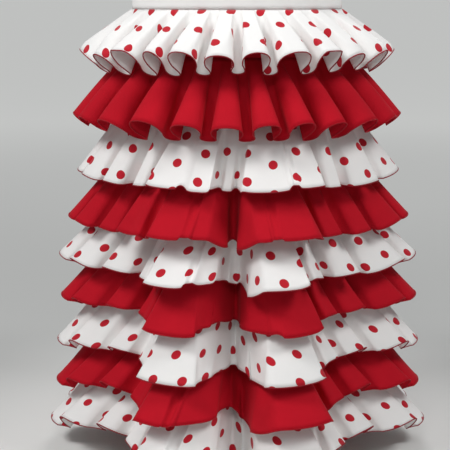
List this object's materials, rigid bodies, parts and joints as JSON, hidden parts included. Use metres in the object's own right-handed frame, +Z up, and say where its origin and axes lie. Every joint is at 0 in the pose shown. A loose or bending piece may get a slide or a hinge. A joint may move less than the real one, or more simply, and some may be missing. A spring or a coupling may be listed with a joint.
{
  "type": "flamenco skirt",
  "caption": "Long flamenco skirt with a smooth hip yoke and overlapping circular-cut ruffles, alternately white with red dots and plain red, hanging in deep soft folds.",
  "frame": {"origin": "centre of the waist, at half the height of the waistband", "axes": "+Z up, +Y towards the wearer's back, +X towards the wearer's left"},
  "size_m": [0.6371, 0.6122, 0.9304],
  "materials": {
    "white_crepe": "plain white stretch crepe, matt",
    "dotted_crepe": "white crepe printed with red dots, matt, with a dark red rolled hem",
    "red_crepe": "plain red crepe, matt"
  },
  "bodies": {
    "root": {"waistband": "white_crepe", "yoke_front": "white_crepe", "yoke_back": "white_crepe", "foundation_front": "red_crepe", "foundation_back": "red_crepe", "ruffle_1": "dotted_crepe", "ruffle_2": "red_crepe", "ruffle_3": "dotted_crepe", "ruffle_4": "red_crepe", "ruffle_5": "dotted_crepe", "ruffle_6": "red_crepe", "ruffle_7": "dotted_crepe", "ruffle_8": "red_crepe", "ruffle_9": "dotted_crepe"}
  },
  "joints": []
}
